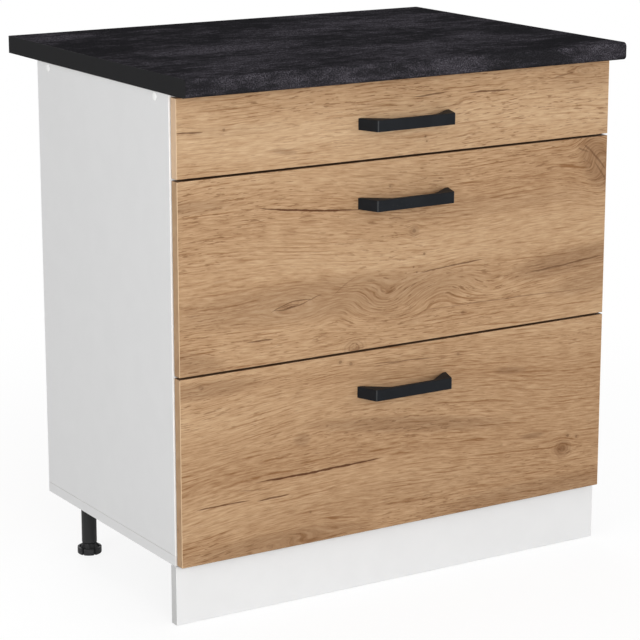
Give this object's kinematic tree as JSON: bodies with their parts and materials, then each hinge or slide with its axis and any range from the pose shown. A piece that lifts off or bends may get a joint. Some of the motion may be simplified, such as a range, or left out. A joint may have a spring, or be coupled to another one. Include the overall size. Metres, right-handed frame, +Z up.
{
  "type": "base cabinet with drawers",
  "caption": "Kitchen base cabinet on adjustable legs, with full-width oak-faced drawers on roller runners, bow handles, a clip-on plinth and a deep overhanging worktop.",
  "frame": {"origin": "middle of the footprint of the whole cabinet, on the floor under the feet", "axes": "+X to the right as seen from the drawer fronts, +Y towards the back, +Z up"},
  "size_m": [0.804, 0.6, 0.8472],
  "materials": {
    "white_board": "white melamine, satin",
    "oak_decor": "oak decor foil, matt, grain across",
    "stone_laminate": "anthracite stone-look laminate on chipboard, matt",
    "worktop_strip": "plain anthracite edging, matt",
    "black_plastic": "moulded, matt",
    "black_metal": "powder coat, matt",
    "grey_steel": "powder coat, satin",
    "zinc_steel": "zinc plated, satin",
    "hardboard": "hardboard, raw and brown behind, white lacquer on the inside",
    "grey_chipboard": "pale grey melamine, matt",
    "nylon": "moulded, satin"
  },
  "bodies": {
    "cabinet": {"bottom_panel": "white_board", "side_panel_left": "white_board", "side_panel_right": "white_board", "top_rail_front": "white_board", "top_rail_rear": "white_board", "back_panel": "hardboard", "screw_cap_front_left": "nylon", "screw_cap_front_right": "nylon", "screw_cap_rear_left": "nylon", "screw_cap_rear_right": "nylon", "worktop": "stone_laminate", "worktop_edge_left": "worktop_strip", "worktop_edge_right": "worktop_strip", "plinth_board": "white_board", "plinth_clip_left": "black_plastic", "plinth_clip_right": "black_plastic", "leg_front_left": "black_plastic", "leg_front_right": "black_plastic", "leg_rear_left": "black_plastic", "leg_rear_right": "black_plastic", "drawer_lower_runner_left": "zinc_steel", "drawer_lower_runner_right": "zinc_steel", "drawer_middle_runner_left": "zinc_steel", "drawer_middle_runner_right": "zinc_steel", "drawer_top_runner_left": "zinc_steel", "drawer_top_runner_right": "zinc_steel"},
    "drawer_lower": {"drawer_lower_front": "oak_decor", "drawer_lower_handle": "black_metal", "drawer_lower_bottom": "grey_chipboard", "drawer_lower_back": "grey_chipboard", "drawer_lower_side_left": "grey_steel", "drawer_lower_side_right": "grey_steel"},
    "drawer_middle": {"drawer_middle_front": "oak_decor", "drawer_middle_handle": "black_metal", "drawer_middle_bottom": "grey_chipboard", "drawer_middle_back": "grey_chipboard", "drawer_middle_side_left": "grey_steel", "drawer_middle_side_right": "grey_steel"},
    "drawer_top": {"drawer_top_front": "oak_decor", "drawer_top_handle": "black_metal", "drawer_top_bottom": "grey_chipboard", "drawer_top_back": "grey_chipboard", "drawer_top_side_left": "grey_steel", "drawer_top_side_right": "grey_steel"},
    "lower_front_roller_left": {"drawer_lower_roller_front_left": "nylon"},
    "lower_front_roller_right": {"drawer_lower_roller_front_right": "nylon"},
    "lower_rear_roller_left": {"drawer_lower_roller_rear_left": "nylon"},
    "lower_rear_roller_right": {"drawer_lower_roller_rear_right": "nylon"},
    "middle_front_roller_left": {"drawer_middle_roller_front_left": "nylon"},
    "middle_front_roller_right": {"drawer_middle_roller_front_right": "nylon"},
    "middle_rear_roller_left": {"drawer_middle_roller_rear_left": "nylon"},
    "middle_rear_roller_right": {"drawer_middle_roller_rear_right": "nylon"},
    "top_front_roller_left": {"drawer_top_roller_front_left": "nylon"},
    "top_front_roller_right": {"drawer_top_roller_front_right": "nylon"},
    "top_rear_roller_left": {"drawer_top_roller_rear_left": "nylon"},
    "top_rear_roller_right": {"drawer_top_roller_rear_right": "nylon"},
    "foot_front_left": {"foot_front_left": "black_plastic"},
    "foot_front_right": {"foot_front_right": "black_plastic"},
    "foot_rear_left": {"foot_rear_left": "black_plastic"},
    "foot_rear_right": {"foot_rear_right": "black_plastic"}
  },
  "joints": [
    {"name": "drawer_lower_slide", "type": "slide", "parent": "cabinet", "child": "drawer_lower", "axis": [0, -1, 0], "range_m": [0, 0.3]},
    {"name": "drawer_middle_slide", "type": "slide", "parent": "cabinet", "child": "drawer_middle", "axis": [0, -1, 0], "range_m": [0, 0.3]},
    {"name": "drawer_top_slide", "type": "slide", "parent": "cabinet", "child": "drawer_top", "axis": [0, -1, 0], "range_m": [0, 0.3]},
    {"name": "lower_front_roller_left_turn", "type": "hinge", "parent": "cabinet", "child": "lower_front_roller_left", "pos_m": [-0.3785, -0.231, 0.126], "axis": [1, 0, 0], "range_deg": [0, 1910]},
    {"name": "lower_front_roller_right_turn", "type": "hinge", "parent": "cabinet", "child": "lower_front_roller_right", "pos_m": [0.3785, -0.231, 0.126], "axis": [1, 0, 0], "range_deg": [0, 1910]},
    {"name": "lower_rear_roller_left_turn", "type": "hinge", "parent": "drawer_lower", "child": "lower_rear_roller_left", "pos_m": [-0.3751, 0.1412, 0.126], "axis": [1, 0, 0], "range_deg": [0, 1910]},
    {"name": "lower_rear_roller_right_turn", "type": "hinge", "parent": "drawer_lower", "child": "lower_rear_roller_right", "pos_m": [0.3751, 0.1412, 0.126], "axis": [1, 0, 0], "range_deg": [0, 1910]},
    {"name": "middle_front_roller_left_turn", "type": "hinge", "parent": "cabinet", "child": "middle_front_roller_left", "pos_m": [-0.3785, -0.231, 0.425], "axis": [1, 0, 0], "range_deg": [0, 1910]},
    {"name": "middle_front_roller_right_turn", "type": "hinge", "parent": "cabinet", "child": "middle_front_roller_right", "pos_m": [0.3785, -0.231, 0.425], "axis": [1, 0, 0], "range_deg": [0, 1910]},
    {"name": "middle_rear_roller_left_turn", "type": "hinge", "parent": "drawer_middle", "child": "middle_rear_roller_left", "pos_m": [-0.3751, 0.1412, 0.425], "axis": [1, 0, 0], "range_deg": [0, 1910]},
    {"name": "middle_rear_roller_right_turn", "type": "hinge", "parent": "drawer_middle", "child": "middle_rear_roller_right", "pos_m": [0.3751, 0.1412, 0.425], "axis": [1, 0, 0], "range_deg": [0, 1910]},
    {"name": "top_front_roller_left_turn", "type": "hinge", "parent": "cabinet", "child": "top_front_roller_left", "pos_m": [-0.3785, -0.231, 0.724], "axis": [1, 0, 0], "range_deg": [0, 1910]},
    {"name": "top_front_roller_right_turn", "type": "hinge", "parent": "cabinet", "child": "top_front_roller_right", "pos_m": [0.3785, -0.231, 0.724], "axis": [1, 0, 0], "range_deg": [0, 1910]},
    {"name": "top_rear_roller_left_turn", "type": "hinge", "parent": "drawer_top", "child": "top_rear_roller_left", "pos_m": [-0.3751, 0.1412, 0.724], "axis": [1, 0, 0], "range_deg": [0, 1910]},
    {"name": "top_rear_roller_right_turn", "type": "hinge", "parent": "drawer_top", "child": "top_rear_roller_right", "pos_m": [0.3751, 0.1412, 0.724], "axis": [1, 0, 0], "range_deg": [0, 1910]},
    {"name": "foot_front_left_screw", "type": "slide", "parent": "cabinet", "child": "foot_front_left", "axis": [0, 0, -1], "range_m": [0, 0.015]},
    {"name": "foot_front_right_screw", "type": "slide", "parent": "cabinet", "child": "foot_front_right", "axis": [0, 0, -1], "range_m": [0, 0.015]},
    {"name": "foot_rear_left_screw", "type": "slide", "parent": "cabinet", "child": "foot_rear_left", "axis": [0, 0, -1], "range_m": [0, 0.015]},
    {"name": "foot_rear_right_screw", "type": "slide", "parent": "cabinet", "child": "foot_rear_right", "axis": [0, 0, -1], "range_m": [0, 0.015]}
  ],
  "couplings": [
    {"joint": "lower_front_roller_left_turn", "follows": "drawer_lower_slide", "rad_per_m": 111.11},
    {"joint": "lower_front_roller_right_turn", "follows": "drawer_lower_slide", "rad_per_m": 111.11},
    {"joint": "lower_rear_roller_left_turn", "follows": "drawer_lower_slide", "rad_per_m": 111.11},
    {"joint": "lower_rear_roller_right_turn", "follows": "drawer_lower_slide", "rad_per_m": 111.11},
    {"joint": "middle_front_roller_left_turn", "follows": "drawer_middle_slide", "rad_per_m": 111.11},
    {"joint": "middle_front_roller_right_turn", "follows": "drawer_middle_slide", "rad_per_m": 111.11},
    {"joint": "middle_rear_roller_left_turn", "follows": "drawer_middle_slide", "rad_per_m": 111.11},
    {"joint": "middle_rear_roller_right_turn", "follows": "drawer_middle_slide", "rad_per_m": 111.11},
    {"joint": "top_front_roller_left_turn", "follows": "drawer_top_slide", "rad_per_m": 111.11},
    {"joint": "top_front_roller_right_turn", "follows": "drawer_top_slide", "rad_per_m": 111.11},
    {"joint": "top_rear_roller_left_turn", "follows": "drawer_top_slide", "rad_per_m": 111.11},
    {"joint": "top_rear_roller_right_turn", "follows": "drawer_top_slide", "rad_per_m": 111.11}
  ]
}
